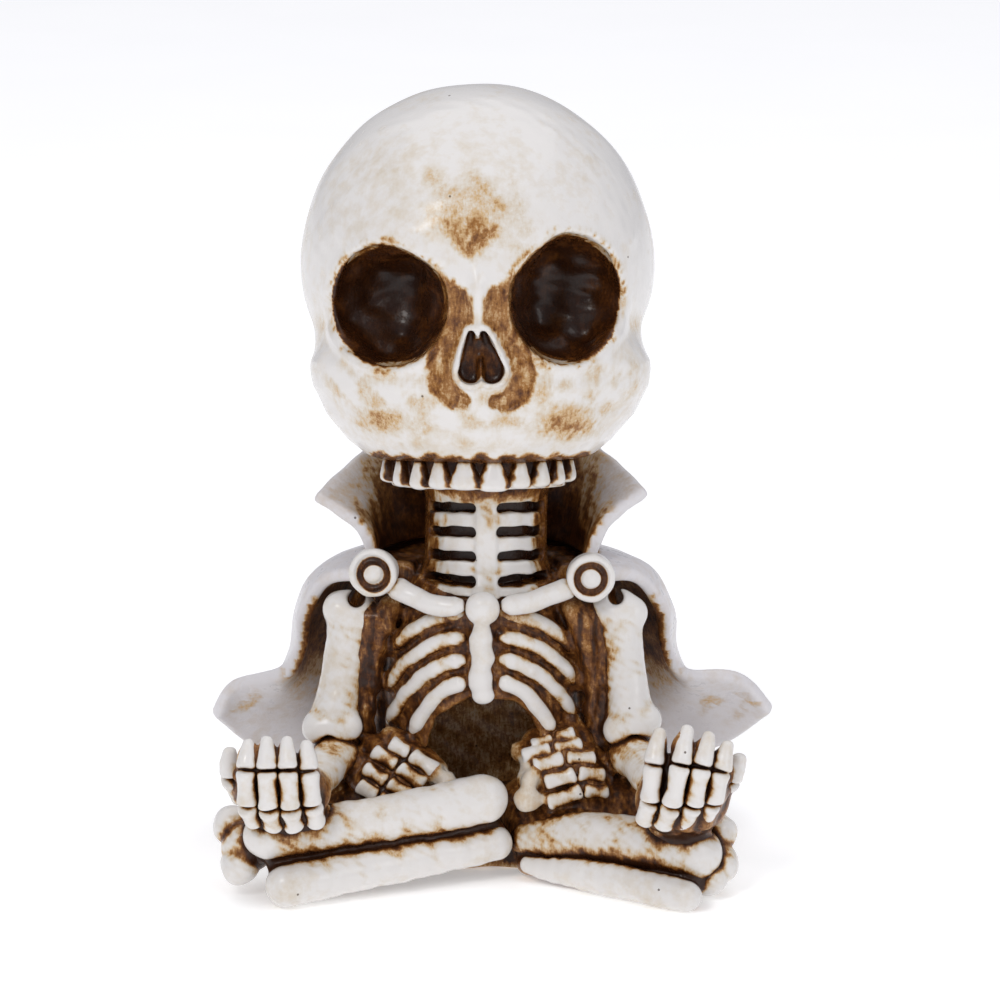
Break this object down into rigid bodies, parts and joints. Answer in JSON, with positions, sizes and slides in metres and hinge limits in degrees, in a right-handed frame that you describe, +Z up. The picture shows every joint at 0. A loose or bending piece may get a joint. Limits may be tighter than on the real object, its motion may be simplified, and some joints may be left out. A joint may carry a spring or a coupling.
{
  "type": "halloween skeleton figure",
  "caption": "Painted cast resin skeleton with an oversize skull, seated cross-legged with palms up, in a short cape with a stand-up collar and two round clasps.",
  "frame": {"origin": "on the flat underside of the pelvis, below the axis of the neck", "axes": "+Z up, -Y out of the figure's face, +X to the right of someone who looks at the face; the figure is longest along Z and shortest along Y"},
  "size_m": [0.0778, 0.0578, 0.1045],
  "materials": {
    "ivory_resin": "satin",
    "costume_resin": "satin",
    "brown_wash_resin": "satin"
  },
  "bodies": {
    "root": {"cape": "costume_resin", "collar": "costume_resin", "left_ankle": "brown_wash_resin", "left_button": "ivory_resin", "left_clavicle": "ivory_resin", "left_femur": "ivory_resin", "left_fibula": "ivory_resin", "left_forearm": "ivory_resin", "left_humerus": "ivory_resin", "left_index_finger": "ivory_resin", "left_knee": "ivory_resin", "left_little_finger": "ivory_resin", "left_middle_finger": "ivory_resin", "left_palm": "brown_wash_resin", "left_rib_1": "ivory_resin", "left_rib_2": "ivory_resin", "left_rib_3": "ivory_resin", "left_rib_4": "ivory_resin", "left_ring_finger": "ivory_resin", "left_shin_core": "brown_wash_resin", "left_thumb": "ivory_resin", "left_tibia": "ivory_resin", "left_toes": "ivory_resin", "neck": "ivory_resin", "pelvis": "brown_wash_resin", "right_ankle": "brown_wash_resin", "right_button": "ivory_resin", "right_clavicle": "ivory_resin", "right_femur": "ivory_resin", "right_fibula": "ivory_resin", "right_forearm": "ivory_resin", "right_humerus": "ivory_resin", "right_index_finger": "ivory_resin", "right_knee": "ivory_resin", "right_little_finger": "ivory_resin", "right_middle_finger": "ivory_resin", "right_palm": "brown_wash_resin", "right_rib_1": "ivory_resin", "right_rib_2": "ivory_resin", "right_rib_3": "ivory_resin", "right_rib_4": "ivory_resin", "right_ring_finger": "ivory_resin", "right_shin_core": "brown_wash_resin", "right_thumb": "ivory_resin", "right_tibia": "ivory_resin", "right_toes": "ivory_resin", "skull": "ivory_resin", "sternum": "ivory_resin", "torso": "brown_wash_resin", "upper_teeth": "ivory_resin"}
  },
  "joints": []
}
